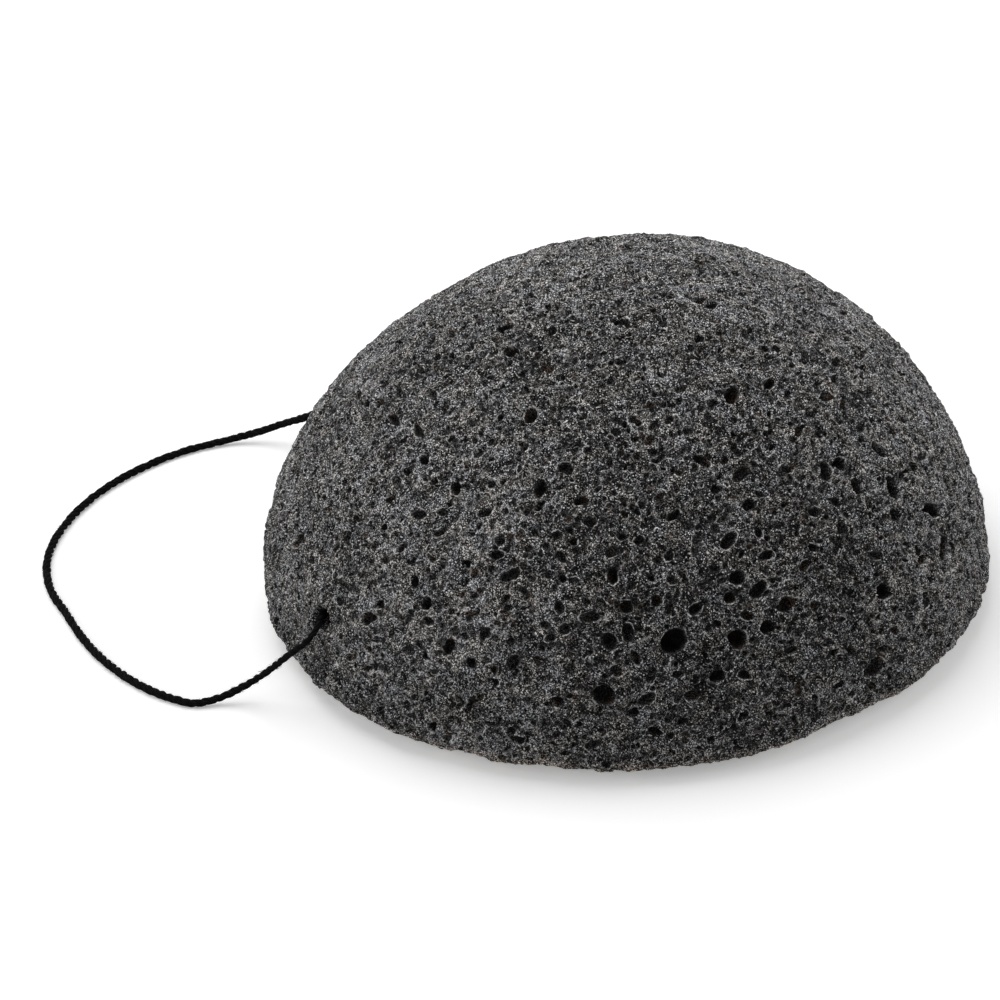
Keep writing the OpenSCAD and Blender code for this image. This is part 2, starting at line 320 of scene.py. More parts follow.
def maths(tree, operation, *values):
    """Adds a math node and returns its result."""
    made = tree.nodes.new("ShaderNodeMath")
    made.operation = operation
    for value, socket in zip(values, made.inputs):
        put(tree, value, socket)
    return made.outputs[0]


def product(tree, first, *others):
    """Multiplies two or more values and returns the result."""
    for other in others:
        first = maths(tree, "MULTIPLY", first, other)
    return first


def vectors(tree, operation, *values, scale=None):
    """Adds a vector math node and returns its result."""
    made = tree.nodes.new("ShaderNodeVectorMath")
    made.operation = operation
    for value, socket in zip(values, made.inputs):
        put(tree, value, socket)
    if scale is not None:
        put(tree, scale, made.inputs["Scale"])
    single = operation in ("DOT_PRODUCT", "LENGTH")
    return made.outputs["Value" if single else "Vector"]


def stepped(tree, value, low, high, to_low=0.0, to_high=1.0):
    """Maps a value smoothly from one range to another and returns it."""
    made = add(tree, "ShaderNodeMapRange", {
        "Value": value, "From Min": low, "From Max": high,
        "To Min": to_low, "To Max": to_high}, interpolation_type="SMOOTHSTEP")
    return made.outputs["Result"]


def noise_at(tree, place, size, detail=1.0, output="Fac"):
    """Noise of a size at a place."""
    return add(tree, "ShaderNodeTexNoise", {
        "Vector": place, "Scale": 1 / size, "Detail": detail}).outputs[output]


def patches(tree, place, size, low, high, to_low=0.0, to_high=1.0, detail=1.0):
    """Noise of a size, mapped smoothly from one range to another."""
    return stepped(tree, noise_at(tree, place, size, detail), low, high, to_low, to_high)


def mixed(tree, factor, first, second):
    """Mixes two colours and returns the result."""
    made = tree.nodes.new("ShaderNodeMix")
    made.data_type = "RGBA"
    put(tree, factor, made.inputs[0])
    put(tree, first, made.inputs[6])
    put(tree, second, made.inputs[7])
    return made.outputs[2]


def new_group(name, kind, inputs, outputs):
    """Makes a node group with its sockets, and returns it with its two end nodes."""
    group = bpy.data.node_groups.new(name, kind)
    for label, socket, default in inputs:
        made = group.interface.new_socket(label, in_out="INPUT", socket_type=socket)
        if default is not None:
            made.default_value = default
    for label, socket in outputs:
        group.interface.new_socket(label, in_out="OUTPUT", socket_type=socket)
    return group, group.nodes.new("NodeGroupInput"), group.nodes.new("NodeGroupOutput")


def new_material(name):
    """Makes a node material, and returns it with its tree and its shader."""
    material = bpy.data.materials.new(name)
    material.use_nodes = True
    tree = material.node_tree
    return material, tree, tree.nodes["Principled BSDF"]


def deselect():
    """Leaves nothing selected, so that an operator acts on one object alone."""
    bpy.ops.object.select_all(action="DESELECT")


def only(piece):
    """Makes a piece the one selected and active object."""
    deselect()
    piece.select_set(True)
    bpy.context.view_layer.objects.active = piece


def new_piece(name, points, faces, corners):
    """Makes a mesh object from points, faces and a UV for each corner."""
    mesh = bpy.data.meshes.new(name)
    mesh.from_pydata([tuple(p) for p in points], [], faces)
    layer = mesh.uv_layers.new(name="UVMap")
    layer.data.foreach_set("uv", np.asarray(corners, dtype=np.float32).ravel())
    mesh.update()
    piece = bpy.data.objects.new(name, mesh)
    bpy.context.collection.objects.link(piece)
    only(piece)
    bpy.ops.object.shade_smooth()
    return piece


def finish_piece(piece, body, material, slot, *nodes):
    """Gives a piece its material and its body, and hides the nodes that it replaces. The slot is
    not used.
    """
    piece.data.materials.clear()
    piece.data.materials.append(material)
    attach(piece, body)
    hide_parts(*nodes)


# The foam body

def dome_radius(z, width=SPONGE_WIDTH, height=SPONGE_HEIGHT):
    """Half width of the dome at a height over the table, from the girth up."""
    share = (z - GIRTH_Z) / (height - GIRTH_Z)
    return width / 2 * (1 - share ** DOME_POWER) ** (1 / DOME_POWER)


def profile(width, height, count=1500):
    """Radius and height along the dome from its top round the rim, and on over the base."""
    turn = np.linspace(0, math.pi / 2, count)
    over = np.stack([width / 2 * np.sin(turn) ** (2 / DOME_POWER),
                     GIRTH_Z + (height - GIRTH_Z) * np.cos(turn) ** (2 / DOME_POWER)], 1)
    rim = np.stack([
        width / 2 - BASE_INSET + BASE_INSET * np.cos(turn) ** (2 / UNDER_POWER),
        GIRTH_Z * (1 - np.sin(turn) ** (2 / UNDER_POWER))], 1)
    base = np.stack([(width / 2 - BASE_INSET) * (1 - np.linspace(0, 1, count)),
                     np.zeros(count)], 1)
    return np.concatenate([over, rim[1:]]), base


def spots_sum(points, table, width, height):
    """The sum, at each point, of a table's amounts, which fade away from their spots."""
    total = np.zeros(len(points))
    for degrees, share, reach, amount in table:
        spot = height * share
        out = dome_radius(max(spot, GIRTH_Z), width, height)
        turn = math.radians(degrees)
        away = points - np.array([out * math.cos(turn), out * math.sin(turn), spot])
        total += amount * np.exp(-np.sum(away ** 2, axis=1) / (reach * MM) ** 2)
    return total


def shape_ball(piece, width, height, base_share=0.17):
    """Moves a unit ball's points on to the dome and its flat base, at an even spacing."""
    mesh = piece.data
    points = np.empty(len(mesh.vertices) * 3, np.float32)
    mesh.vertices.foreach_get("co", points)
    points = points.reshape(-1, 3).astype(float)
    dome, base = profile(width, height)

    def areas(run):
        step = np.linalg.norm(np.diff(run, axis=0), axis=1)
        ring = (run[1:, 0] + run[:-1, 0]) / 2 * step
        return np.concatenate([[0], np.cumsum(ring)])

    # The share of the ball's surface that lies above each point
    share = (1 - points[:, 2] / np.linalg.norm(points, axis=1)) / 2
    upper = np.sqrt(np.clip(share / (1 - base_share), 0, 1))
    lower = np.sqrt(np.clip((1 - share) / base_share, 0, 1))
    dome_area = areas(dome)
    base_area = areas(base[::-1])
    dome_key = np.sqrt(dome_area / dome_area[-1])
    base_key = np.sqrt(base_area / base_area[-1])
    on_dome = share <= 1 - base_share
    radius = np.where(on_dome, np.interp(upper, dome_key, dome[:, 0]),
                      np.interp(lower, base_key, base[::-1, 0]))
    z = np.where(on_dome, np.interp(upper, dome_key, dome[:, 1]), 0.0)
    flat = np.maximum(np.hypot(points[:, 0], points[:, 1]), 1e-9)
    shaped = np.stack([points[:, 0] / flat * radius, points[:, 1] / flat * radius, z], 1)
    middle = GIRTH_Z * UP_WAY
    outward = shaped - middle
    outward /= np.maximum(np.linalg.norm(outward, axis=1), 1e-9)[:, None]
    # Near the table the skin moves sideways alone, which leaves the base flat
    outward[:, 2] *= np.clip(z / FLAT_BAND, 0, 1)
    # The tone attribute holds patches of the skin's own tone and of painted light and shade
    tone = mesh.attributes.new("tone", "FLOAT", "POINT")
    tone_and_painted_light = 1 + spots_sum(shaped, TONE_AND_LIGHT_PATCHES, width, height)
    tone.data.foreach_set("value", tone_and_painted_light.astype(np.float32))
    shaped += outward * (MM * spots_sum(shaped, LUMPS, width, height))[:, None]
    mesh.vertices.foreach_set("co", shaped.astype(np.float32).ravel())
    mesh.update()


def track_mouths(width=SPONGE_WIDTH, height=SPONGE_HEIGHT):
    """The front and back mouths of the needle track."""
    radius = dome_radius(TRACK_Z, width, height)
    inset = radius - TRACK_DEPTH
    half = math.sqrt(radius ** 2 - inset ** 2)
    middle = inset * LOOP_WAY + TRACK_Z * UP_WAY
    return middle - half * TRACK_WAY, middle + half * TRACK_WAY


def pore_seeds(width, height, smallest, largest):
    """A point at the middle of each large bubble of a range of widths, with its radius
    and its long way."""
    middles, radii, long_ways = [], [], []

    def seed(skin, pore, longer=1.0, tilt=0.0):
        inward = np.array([0, 0, GIRTH_Z]) - skin
        inward /= np.linalg.norm(inward)
        level = np.array([-skin[1], skin[0], 0.0]) / np.hypot(skin[0], skin[1])
        way = math.cos(tilt) * level + math.sin(tilt) * np.cross(-inward, level)
        middles.append(skin + inward * pore * BUBBLE_SINK)
        radii.append(pore * BUBBLE_RADIUS)
        long_ways.append(way * math.sqrt(1 - 1 / longer))

    for degrees, share, pore, longer, tilt in PORES:
        if not smallest <= pore < largest:
            continue
        z = height * share
        radius = dome_radius(z, width, height)
        turn = math.radians(degrees)
        seed(np.array([radius * math.cos(turn), radius * math.sin(turn), z]), pore * MM,
             longer, math.radians(tilt))
    if largest > MOUTH_WIDTH:
        for mouth in track_mouths(width, height):
            seed(mouth + MOUTH_LIFT * UP_WAY, MOUTH_WIDTH * MM)
    mesh = bpy.data.meshes.new("pore_seeds")
    mesh.from_pydata([tuple(p) for p in middles], [], [])
    layer = mesh.attributes.new("bubble", "FLOAT", "POINT")
    layer.data.foreach_set("value", np.array(radii, np.float32))
    layer = mesh.attributes.new("long_way", "FLOAT_VECTOR", "POINT")
    layer.data.foreach_set("vector", np.array(long_ways, np.float32).ravel())
    seeds = bpy.data.objects.new("pore_seeds", mesh)
    bpy.context.collection.objects.link(seeds)
    return seeds


def wobble(tree, place, size, reach, detail=1.0):
    """A place, shifted to and fro by noise of a size and a reach."""
    shift = vectors(tree, "SUBTRACT", noise_at(tree, place, size, detail, "Color"),
                    (0.5, 0.5, 0.5))
    return vectors(tree, "ADD", place, vectors(tree, "SCALE", shift, scale=reach))


def bubble_depth(tree, offset, normal, radius, soft):
    """How deep a bubble's far wall lies under a point of the skin, and how far in it is."""
    near = vectors(tree, "LENGTH", offset)
    rise = vectors(tree, "DOT_PRODUCT", offset, normal)
    inner = maths(tree, "SUBTRACT", product(tree, radius, radius), product(tree, near, near))
    reach = maths(tree, "ADD", inner, product(tree, rise, rise))
    depth = maths(tree, "ADD", rise, maths(tree, "SQRT", maths(tree, "MAXIMUM", reach, 0.0)))
    lip = maths(tree, "SUBTRACT", radius, near)
    return product(tree, depth, stepped(tree, lip, 0.0, soft)), lip


def rim_band(tree, lip, unit):
    """1 on the narrow band of skin round a pore's lip, for a distance in from it in a unit."""
    return product(tree, stepped(tree, lip, -0.07 * unit, -0.03 * unit),
                   stepped(tree, lip, -0.01 * unit, 0.03 * unit, 1.0, 0.0))


BUBBLE_INPUTS = [
    ("Position", "NodeSocketVector", None), ("Normal", "NodeSocketVector", None),
    ("Cell", "NodeSocketFloat", MM), ("Smallest", "NodeSocketFloat", 0.3),
    ("Largest", "NodeSocketFloat", 0.6), ("Open Share", "NodeSocketFloat", 0.8),
    ("Shift", "NodeSocketVector", (0, 0, 0)),
]


def ragged_place(tree, rest):
    """A place on the smooth skin, shifted a little so that round mouths turn out ragged."""
    return wobble(tree, wobble(tree, rest, 1.4 * MM, 0.36 * MM), 0.36 * MM, 0.36 * MM, 2.0)


def bubble_place(tree, ragged):
    """A ragged place, shifted further so that the bubbles are drawn out at random."""
    return wobble(tree, ragged, 2.6 * MM, 1.3 * MM)


def crowding(tree, rest):
    """How many of the finer bubbles are open: fewer in some patches and near the top."""
    height = add(tree, "ShaderNodeSeparateXYZ", {"Vector": rest}).outputs["Z"]
    return product(tree, patches(tree, rest, MM / 0.11, 0.36, 0.60, 0.7, 1.15), stepped(
        tree, height, 0.55 * SPONGE_HEIGHT, SPONGE_HEIGHT, 1.0, 0.85))


def layer_inputs(tree, row, place, crowd):
    """The inputs of a bubble group for one layer of the finer bubbles."""
    cell, smallest, largest, open_share, shift = row[:5]
    return {"Position": place, "Cell": cell, "Smallest": smallest, "Largest": largest,
            "Open Share": product(tree, crowd, open_share), "Shift": shift}


def nearest_bubble(group, start):
    """A place's offset from the nearest bubble, the radius, 1 if open, and the bubble's chance."""
    cell = start.outputs["Cell"]
    place = vectors(group, "ADD", vectors(
        group, "SCALE", start.outputs["Position"], scale=maths(group, "DIVIDE", 1.0, cell)),
        start.outputs["Shift"])
    cells = add(group, "ShaderNodeTexVoronoi", {"Vector": place, "Scale": 1.0},
                voronoi_dimensions="3D", feature="F1")
    middle = vectors(group, "SCALE", vectors(
        group, "SUBTRACT", cells.outputs["Position"], start.outputs["Shift"]), scale=cell)
    split = add(group, "ShaderNodeSeparateXYZ", {"Vector": cells.outputs["Color"]})
    size = maths(group, "MULTIPLY_ADD", split.outputs["X"], maths(
        group, "SUBTRACT", start.outputs["Largest"], start.outputs["Smallest"]),
        start.outputs["Smallest"])
    is_open = maths(group, "LESS_THAN", split.outputs["Y"], start.outputs["Open Share"])
    offset = vectors(group, "SUBTRACT", start.outputs["Position"], middle)
    return offset, product(group, size, cell), is_open, split.outputs["Z"]


def bubble_group():
    """Node group: depth of the open bubbles of one size that the skin cuts through."""
    group, start, end = new_group("Open bubbles", "GeometryNodeTree", BUBBLE_INPUTS,
                                  [("Depth", "NodeSocketFloat")])
    offset, radius, is_open, chance = nearest_bubble(group, start)
    depth = bubble_depth(group, offset, start.outputs["Normal"], radius, 0.1 * MM)[0]
    # Some bubbles are only shallow, with a wall left across them
    whole = stepped(group, chance, 0.1, 0.5, 0.3, 1.0)
    put(group, product(group, depth, is_open, whole), end.inputs["Depth"])
    return group


def cell_group():
    """Shader group: painted shade in the open bubbles of one size, and painted highlights on their
    rims.
    """
    group, start, end = new_group("Foam cells", "ShaderNodeTree", BUBBLE_INPUTS,
                                  [("Dark", "NodeSocketFloat"), ("Rim", "NodeSocketFloat")])
    offset, radius, is_open, chance = nearest_bubble(group, start)
    lip = maths(group, "SUBTRACT", radius, vectors(group, "LENGTH", offset))
    dark = product(group, stepped(group, lip, 0.0, 0.06 * MM),
                   stepped(group, chance, 0.0, 0.6, 0.35, 1.0), is_open)
    put(group, dark, end.inputs["Dark"])
    put(group, product(group, rim_band(group, lip, MM), is_open), end.inputs["Rim"])
    return group


def seed_bubbles(tree, seed_sets, ragged, position, normal):
    """Depth of the large pores and the track's mouths, how far in from their lips a point
    is, and a value that rises from 0 near one of them to 1 clear of them all."""

    def named(name, kind):
        return add(tree, "GeometryNodeInputNamedAttribute", {"Name": name},
                   data_type=kind).outputs["Attribute"]

    def of_seed(info, nearest, value, kind):
        return add(tree, "GeometryNodeSampleIndex", {
            "Geometry": info.outputs["Geometry"], "Index": nearest, "Value": value},
            data_type=kind).outputs["Value"]

    depth, lip, clear = 0.0, -1.0, 1.0
    for seeds in seed_sets:
        info = add(tree, "GeometryNodeObjectInfo", {"Object": seeds}, transform_space="RELATIVE")
        nearest = add(tree, "GeometryNodeSampleNearest", {
            "Geometry": info.outputs["Geometry"], "Sample Position": ragged}).outputs["Index"]
        offset = vectors(tree, "SUBTRACT", ragged, of_seed(
            info, nearest, position, "FLOAT_VECTOR"))
        long_way = of_seed(info, nearest, named("long_way", "FLOAT_VECTOR"), "FLOAT_VECTOR")
        squeezed = vectors(tree, "SUBTRACT", offset, vectors(
            tree, "SCALE", long_way, scale=vectors(tree, "DOT_PRODUCT", offset, long_way)))
        radius = of_seed(info, nearest, named("bubble", "FLOAT"), "FLOAT")
        found, inside = bubble_depth(tree, squeezed, normal, radius, 0.14 * MM)
        depth = maths(tree, "MAXIMUM", depth, found)
        lip = maths(tree, "MAXIMUM", lip, inside)
        clear = maths(tree, "MINIMUM", clear, stepped(
            tree, vectors(tree, "LENGTH", offset), 0.9 * MM, 2.4 * MM))
    return depth, lip, clear


def swelling(tree, position, ragged, lump):
    """How far lumps and crumbs lift the skin, which leave the base flat."""
    height = add(tree, "ShaderNodeSeparateXYZ", {"Vector": position}).outputs["Z"]
    swell = maths(tree, "SUBTRACT", noise_at(tree, position, MM / 0.07, 2.0), 0.5)
    swell = product(tree, swell, LUMP_STRETCH * lump, stepped(tree, height, 0.2 * MM, 5 * MM))
    for size, reach in CRUMBS:
        crumb = maths(tree, "SUBTRACT", noise_at(tree, ragged, size), 0.5)
        swell = maths(tree, "ADD", swell, product(
            tree, crumb, reach, stepped(tree, height, 0.05 * MM, 0.6 * MM)))
    return swell


def foam_nodes(seed_sets, lump):
    """The modifier's nodes: lumps and crumbs, then open bubbles from coarse to fine."""
    bubbles = bubble_group()
    tree, start, end = new_group("Foam skin", "GeometryNodeTree",
                                 [("Geometry", "NodeSocketGeometry", None)],
                                 [("Geometry", "NodeSocketGeometry")])
    position = add(tree, "GeometryNodeInputPosition").outputs[0]
    normal = add(tree, "GeometryNodeInputNormal").outputs[0]
    ragged = ragged_place(tree, position)
    place = bubble_place(tree, ragged)
    crowd = crowding(tree, position)
    depth, lip, clear = seed_bubbles(tree, seed_sets, ragged, position, normal)
    for row in CELL_LAYERS:
        cell = row[0]
        inputs = {**layer_inputs(tree, row, place, crowd), "Normal": normal}
        found = add(tree, "GeometryNodeGroup", inputs, node_tree=bubbles).outputs["Depth"]
        if cell > COARSE_CELL:
            found = product(tree, found, clear)
        elif cell < FINE_CELL:
            found = product(tree, found, FINE_DEPTH)
        depth = maths(tree, "MAXIMUM", depth, found)
    depth = maths(tree, "MINIMUM", depth, DEEPEST)

    geometry = start.outputs["Geometry"]
    for name, value, kind in (("pit", product(tree, depth, 1 / MM), "FLOAT"),
                              ("lip", product(tree, lip, 1 / MM), "FLOAT"),
                              ("clear", clear, "FLOAT"),
                              ("rest", position, "FLOAT_VECTOR")):
        geometry = add(tree, "GeometryNodeStoreNamedAttribute", {
            "Geometry": geometry, "Name": name, "Value": value},
            data_type=kind, domain="POINT").outputs["Geometry"]
    push = maths(tree, "SUBTRACT", swelling(tree, position, ragged, lump), depth)
    moved = add(tree, "GeometryNodeSetPosition", {
        "Geometry": geometry, "Offset": vectors(tree, "SCALE", normal, scale=push)})
    put(tree, moved.outputs["Geometry"], end.inputs["Geometry"])
    return tree


def grain_group():
    """Shader group: fine grains, each with its own tone, and painted glints on a few of them."""
    group, start, end = new_group("Foam grain", "ShaderNodeTree", [
        ("Vector", "NodeSocketVector", None), ("Cell", "NodeSocketFloat", 0.4 * MM),
        ("Shift", "NodeSocketVector", (0, 0, 0)),
    ], [("Tone", "NodeSocketFloat"), ("Glint", "NodeSocketFloat")])
    place = vectors(group, "ADD", vectors(
        group, "SCALE", start.outputs["Vector"],
        scale=maths(group, "DIVIDE", 1.0, start.outputs["Cell"])), start.outputs["Shift"])
    cell = add(group, "ShaderNodeTexVoronoi", {"Vector": place, "Scale": 1.0},
               voronoi_dimensions="3D", feature="F1")
    split = add(group, "ShaderNodeSeparateXYZ", {"Vector": cell.outputs["Color"]})
    put(group, split.outputs["X"], end.inputs["Tone"])
    near = stepped(group, cell.outputs["Distance"], 0.2, 0.4, 1.0, 0.0)
    rare = stepped(group, split.outputs["Y"], 0.62, 0.92)
    put(group, product(group, near, rare), end.inputs["Glint"])
    return group


def grain(tree, group, place, cell, shift):
    """The outputs of the grain group for grains of one size."""
    return add(tree, "ShaderNodeGroup", {"Vector": place, "Cell": cell, "Shift": shift},
               node_tree=group).outputs


def grain_level(tree, place, fine, coarse, tone):
    """How light the skin is: the tone of each grain, patches of tone and painted light and shade,
    soft patches, and pale threads.
    """
    # The high power leaves most grains dark and a few of them bright
    level = product(
        tree,
        maths(tree, "MULTIPLY_ADD", maths(tree, "POWER", fine, 16.0), 19.0, 0.12),
        tone,
        maths(tree, "MULTIPLY_ADD", coarse, 1.6, 0.2),
        patches(tree, place, 1.4 * MM, 0.35, 0.65, 0.65, 1.35),
        patches(tree, place, 2.8 * MM, 0.35, 0.65, 0.5, 1.55),
        patches(tree, place, 6.0 * MM, 0.32, 0.68, 0.55, 1.5, 2.0))
    # The threads wind through the foam and show here and there
    wire = maths(tree, "SUBTRACT", noise_at(tree, place, 0.35 * MM), 0.5)
    thread = product(
        tree,
        stepped(tree, maths(tree, "ABSOLUTE", wire), 0.0, 0.06, 1.0, 0.0),
        patches(tree, place, 0.7 * MM, 0.42, 0.6),
        patches(tree, place, 0.13 * MM, 0.35, 0.65, 0.2, 1.8))
    return maths(tree, "MULTIPLY_ADD", thread, 3.0, level)


def cell_masks(tree, place, rest, pit, lip, clear):
    """Where the open cells get painted shade, and where their rims get painted highlights, which
    is in parts.
    """
    cells = cell_group()
    bubbles = bubble_place(tree, ragged_place(tree, rest))
    crowd = crowding(tree, rest)
    dark = stepped(tree, lip, 0.0, 0.09)
    rim = rim_band(tree, lip, 1.0)
    for row in CELL_LAYERS:
        cell, *_, pore_shade_strength, rim_highlight_strength = row
        found = add(tree, "ShaderNodeGroup", layer_inputs(tree, row, bubbles, crowd),
                    node_tree=cells).outputs
        if cell > COARSE_CELL:
            pore_shade_strength = product(tree, clear, pore_shade_strength)
            rim_highlight_strength = product(tree, clear, rim_highlight_strength)
        dark = maths(tree, "MAXIMUM", dark, product(tree, found["Dark"], pore_shade_strength))
        rim = maths(tree, "MAXIMUM", rim, product(tree, found["Rim"], rim_highlight_strength))
    # The painted highlights on the rims are broken into parts and kept off the deep pits
    rim = product(tree, rim, patches(tree, place, 0.8 * MM, 0.48, 0.60),
                  stepped(tree, pit, 0.4, 0.9, 1.0, 0.0),
                  patches(tree, place, 0.2 * MM, 0.36, 0.6, 0.25, 1.0))
    return dark, rim


def shut_in(tree, place):
    """0 in the worn hollow at each mouth of the track, which is open to the light, else 1."""
    shut = 1.0
    for mouth in track_mouths():
        far = vectors(tree, "LENGTH", vectors(tree, "SUBTRACT", place, tuple(mouth)))
        shut = product(tree, shut, stepped(
            tree, far, 0.55 * MOUTH_WIDTH * MM, 0.75 * MOUTH_WIDTH * MM))
    return shut


def foam_material(look):
    """Charcoal foam: grey grains and pale threads, painted shade in the pores, painted highlights
    on their broken rims, painted glints, and patches of tone and painted light and shade.
    """
    material, tree, shader = new_material("charcoal_foam")
    place = add(tree, "ShaderNodeTexCoord").outputs["Object"]
    # The tone attribute brings patches of tone and of painted light and shade
    pit, lip, clear, tone = (
        add(tree, "ShaderNodeAttribute", attribute_name=name).outputs["Fac"]
        for name in ("pit", "lip", "clear", "tone"))
    rest = add(tree, "ShaderNodeAttribute", attribute_name="rest").outputs["Vector"]
    height = add(tree, "ShaderNodeSeparateXYZ", {"Vector": rest}).outputs["Z"]
    bent = wobble(tree, place, 0.4 * MM, 0.2 * MM)
    grains = grain_group()
    fine = grain(tree, grains, bent, 0.09 * MM, (5.3, 1.6, 7.1))["Tone"]
    coarse = grain(tree, grains, place, 0.15 * MM, (1.7, 4.4, 2.9))["Tone"]
    painted_glints = grain(tree, grains, bent, 0.24 * MM, (2.3, 8.6, 4.1))["Glint"]
    level = grain_level(tree, place, fine, coarse, tone)
    dark, rim = cell_masks(tree, place, rest, pit, lip, clear)

    # The skin is cooler in some patches and warmer in others, and pale brown at the bottom rim,
    # partly its own brown and partly painted light that stands for light thrown up by the floor
    tint = mixed(tree, patches(tree, place, 2.2 * MM, 0.42, 0.58), (0.97, 0.99, 1.035, 1),
                 (1.04, 1.0, 0.96, 1))
    skin = mixed(tree, stepped(tree, height, 0.2 * MM, 3.2 * MM),
                 (0.36, 0.31, 0.27, 1), (*look.skin, 1))
    skin = vectors(tree, "MULTIPLY", skin, tint)
    colour = vectors(tree, "SCALE", skin, scale=maths(tree, "MINIMUM", level, 9.0))

    # Painted shade inside the pores: dark mottled walls, brown in places, and nearly black at the
    # bottom, with less of it in the worn hollows at the mouths of the track
    shut = shut_in(tree, place)
    dark = product(tree, dark, maths(tree, "MULTIPLY_ADD", shut, 0.55, 0.45))
    mottle = product(
        tree,
        maths(tree, "MULTIPLY_ADD", maths(tree, "POWER", fine, 3.0), 3.0, 0.25),
        patches(tree, place, 0.15 * MM, 0.36, 0.64, 0.1, 2.4),
        patches(tree, place, 2.0 * MM, 0.4, 0.62, 0.5, 1.7))
    wall = mixed(tree, patches(tree, place, 1.6 * MM, 0.54, 0.68),
                 (0.022, 0.0214, 0.0214, 1), (0.0356, 0.025, 0.0184, 1))
    colour = mixed(tree, dark, colour, vectors(tree, "SCALE", wall, scale=mottle))
    # Painted shade, nearly black, deep in the pits
    deep = product(tree, stepped(tree, pit, 0.5, 1.6),
                   patches(tree, place, 3.0 * MM, 0.42, 0.58, 0.3, 1.0), shut)
    patchy_shade = product(tree, patches(tree, place, 0.15 * MM, 0.36, 0.64, 0.0, 2.0),
                     patches(tree, place, 1.1 * MM, 0.36, 0.64, 0.3, 1.7))
    colour = mixed(tree, deep, colour, vectors(tree, "SCALE", look.hollow, scale=patchy_shade))
    # Painted highlights on the broken rims of the pores
    colour = mixed(tree, rim, colour, (0.80, 0.79, 0.78, 1))
    # Painted glints: tiny near-white dots in the colour, kept out of the pits
    glint = product(tree, painted_glints, stepped(tree, pit, 0.1, 0.4, 1.0, 0.0))
    colour = mixed(tree, glint, colour, (0.9, 0.9, 0.9, 1))
    put(tree, colour, shader.inputs["Base Color"])
    put(tree, stepped(tree, glint, 0.0, 1.0, 0.9, 0.4), shader.inputs["Roughness"])
    bump = add(tree, "ShaderNodeBump", {
        "Height": noise_at(tree, place, 0.22 * MM), "Distance": 0.12 * MM, "Strength": 0.8})
    put(tree, bump.outputs["Normal"], shader.inputs["Normal"])
    shader.inputs["Specular IOR Level"].default_value = 0.05
    shader.inputs["Sheen Weight"].default_value = 0.08
    shader.inputs["Sheen Roughness"].default_value = 0.5
    return material


class SPONGE_OT_body(Operator):
    """Make the foam half ball with its open pores"""

    bl_idname = "sponge.body"
    bl_label = "Foam Body"

    def execute(self, context):
        look = context.scene.sponge_shape
        deselect()
        fineness = look.fineness
        bpy.ops.mesh.primitive_ico_sphere_add(subdivisions=fineness, radius=1.0)
        piece = context.active_object
        piece.name = piece.data.name = "foam_half_ball"
        shape_ball(piece, look.width, look.height)
        bpy.ops.object.shade_smooth()
        seed_sets = [pore_seeds(look.width, look.height, smallest, largest)
                     for smallest, largest in zip(PORE_SIZES, PORE_SIZES[1:])]
        only(piece)
        skin = piece.modifiers.new("pores", "NODES")
        skin.node_group = foam_nodes(seed_sets, look.lump)
        bpy.ops.object.modifier_apply(modifier=skin.name)
        for seeds in seed_sets:
            bpy.data.objects.remove(seeds)
        finish_piece(piece, SPONGE_BODY, foam_material(look), "foam", "sponge_body")
        return {"FINISHED"}


# The twisted cord

def smooth_route(points, steps=12):
    """A smooth curve through points, as in the part: straight at both ends."""
    points = np.asarray(points, float)
    run = np.vstack([2 * points[0] - points[1], points, 2 * points[-1] - points[-2]])
    made = []
    for a, b, c, d in zip(run[:-3], run[1:-2], run[2:-1], run[3:]):
        for t in np.arange(steps) / steps:
            made.append(b + (c - a) * t / 2 + (2 * a - 5 * b + 4 * c - d) * t * t / 2
                        + (3 * b - a - 3 * c + d) * t ** 3 / 2)
    made.append(points[-1])
    return np.array(made)


def even_run(points, step):
    """Points at an even spacing along a run, with the length up to each."""
    steps = np.linalg.norm(np.diff(points, axis=0), axis=1)
    lengths = np.concatenate([[0], np.cumsum(steps)])
    count = max(2, int(round(lengths[-1] / step)) + 1)
    at = np.linspace(0, lengths[-1], count)
    return np.stack([np.interp(at, lengths, points[:, i]) for i in range(3)], 1), at


def carried_frames(run):
    """The heading at each point, and two ways across it that turn as little as they can."""
    heading = np.gradient(run, axis=0)
    heading /= np.linalg.norm(heading, axis=1)[:, None]
    side = np.cross(heading[0], UP_WAY)
    if np.linalg.norm(side) < 0.1:
        side = np.cross(heading[0], [1.0, 0.0, 0.0])
    sides = []
    for way in heading:
        side = side - way * (side @ way)
        side /= np.linalg.norm(side)
        sides.append(side)
    sides = np.array(sides)
    return heading, sides, np.cross(heading, sides)


def tube(rings, at, first):
    """Faces and UVs of a closed tube over rings of points, numbered from first."""
    count, sides = rings.shape[:2]
    faces, corners = [], []
    for i in range(count - 1):
        low, high = at[i] / CORD_WIDTH, at[i + 1] / CORD_WIDTH
        for k in range(sides):
            n = (k + 1) % sides
            faces.append((first + i * sides + k, first + i * sides + n,
                          first + (i + 1) * sides + n, first + (i + 1) * sides + k))
            corners += [(k / sides, low), ((k + 1) / sides, low),
                        ((k + 1) / sides, high), (k / sides, high)]
    faces.append(tuple(first + k for k in range(sides - 1, -1, -1)))
    corners += [(0.5, 0.0)] * sides
    last = first + (count - 1) * sides
    faces.append(tuple(last + k for k in range(sides)))
    corners += [(0.5, at[-1] / CORD_WIDTH)] * sides
    return faces, corners


